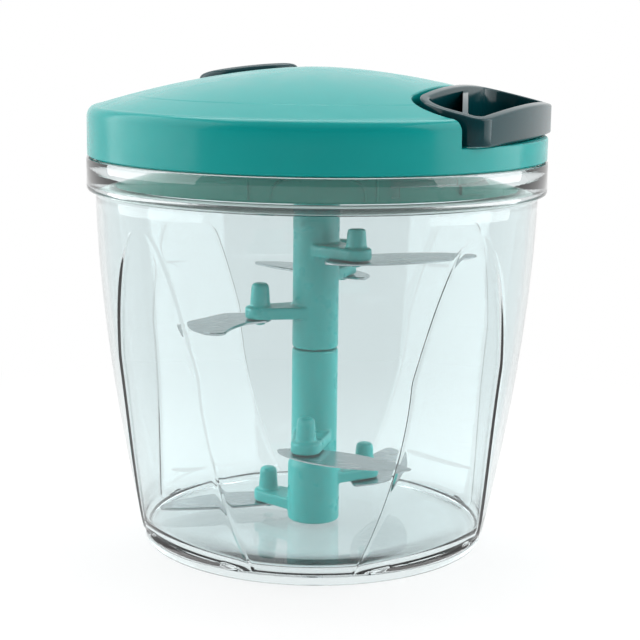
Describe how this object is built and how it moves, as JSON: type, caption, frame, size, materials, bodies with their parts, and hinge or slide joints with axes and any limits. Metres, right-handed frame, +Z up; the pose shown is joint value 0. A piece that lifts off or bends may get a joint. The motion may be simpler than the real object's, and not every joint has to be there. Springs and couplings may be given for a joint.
{
  "type": "pull-cord food chopper",
  "caption": "Pull-cord food chopper: clear bowl with a wide collar, domed twist-lock lid with a parked ring handle, and a bladed rotor that the cord's spool spins.",
  "frame": {"origin": "centre of the bowl's underside, on the rotor's axis", "axes": "+Z up along the rotor's axis, -Y towards the front of the chopper, +X to the right as seen from the front"},
  "size_m": [0.133, 0.1306, 0.1369],
  "materials": {
    "clear_plastic": "clear, polished",
    "cover_plastic": "high gloss teal",
    "lid_plastic": "moulded teal",
    "rotor_plastic": "moulded teal",
    "dark_plastic": "high gloss dark petrol",
    "blade_steel": "ground",
    "pin_steel": "turned",
    "spring_steel": "rolled strip",
    "seal_rubber": "matt silicone",
    "guide_nylon": "moulded natural nylon",
    "cord_fibre": "braided"
  },
  "bodies": {
    "bowl": {"bowl": "clear_plastic", "pivot_pin": "pin_steel"},
    "rotor": {"rotor_lower": "rotor_plastic", "rotor_upper": "rotor_plastic", "blade_1": "blade_steel", "blade_2": "blade_steel", "blade_3": "blade_steel", "blade_4": "blade_steel", "blade_5": "blade_steel", "blade_6": "blade_steel"},
    "seal": {"seal_ring": "seal_rubber"},
    "lid": {"lid_cover": "cover_plastic", "lid_base": "lid_plastic", "spring_cup": "lid_plastic", "recoil_spring": "spring_steel", "lid_axle": "pin_steel", "retainer_washer": "pin_steel", "axle_screw": "pin_steel", "cord_guide": "guide_nylon", "lid_screw_1": "pin_steel", "lid_screw_2": "pin_steel", "lid_screw_3": "pin_steel", "lid_screw_4": "pin_steel", "thumb_pad": "dark_plastic", "cord_lead": "cord_fibre"},
    "spool": {"spool": "rotor_plastic", "drive_coupler": "guide_nylon", "cord_winding": "cord_fibre"},
    "handle": {"pull_handle": "dark_plastic", "cord_run": "cord_fibre", "cord_knot": "cord_fibre"}
  },
  "joints": [
    {"name": "lid_lift", "type": "slide", "parent": "bowl", "child": "seal", "axis": [0, 0, 1], "range_m": [0, 0.12]},
    {"name": "lid_twist", "type": "hinge", "parent": "seal", "child": "lid", "pos_m": [0, 0, 0.1112], "axis": [0, 0, -1], "range_deg": [0, 15]},
    {"name": "handle_pull", "type": "slide", "parent": "lid", "child": "handle", "axis": [0.9205, -0.3907, 0], "range_m": [0, 0.35]},
    {"name": "spool_spin", "type": "hinge", "parent": "lid", "child": "spool", "pos_m": [0, 0, 0.122], "axis": [0, 0, -1], "range_deg": [0, 1260]},
    {"name": "rotor_spin", "type": "hinge", "parent": "bowl", "child": "rotor", "pos_m": [0, 0, 0.0039], "axis": [0, 0, -1], "range_deg": [0, 1260]}
  ],
  "couplings": [
    {"joint": "spool_spin", "follows": "handle_pull", "rad_per_m": 62.5},
    {"joint": "rotor_spin", "follows": "handle_pull", "rad_per_m": 62.5}
  ]
}
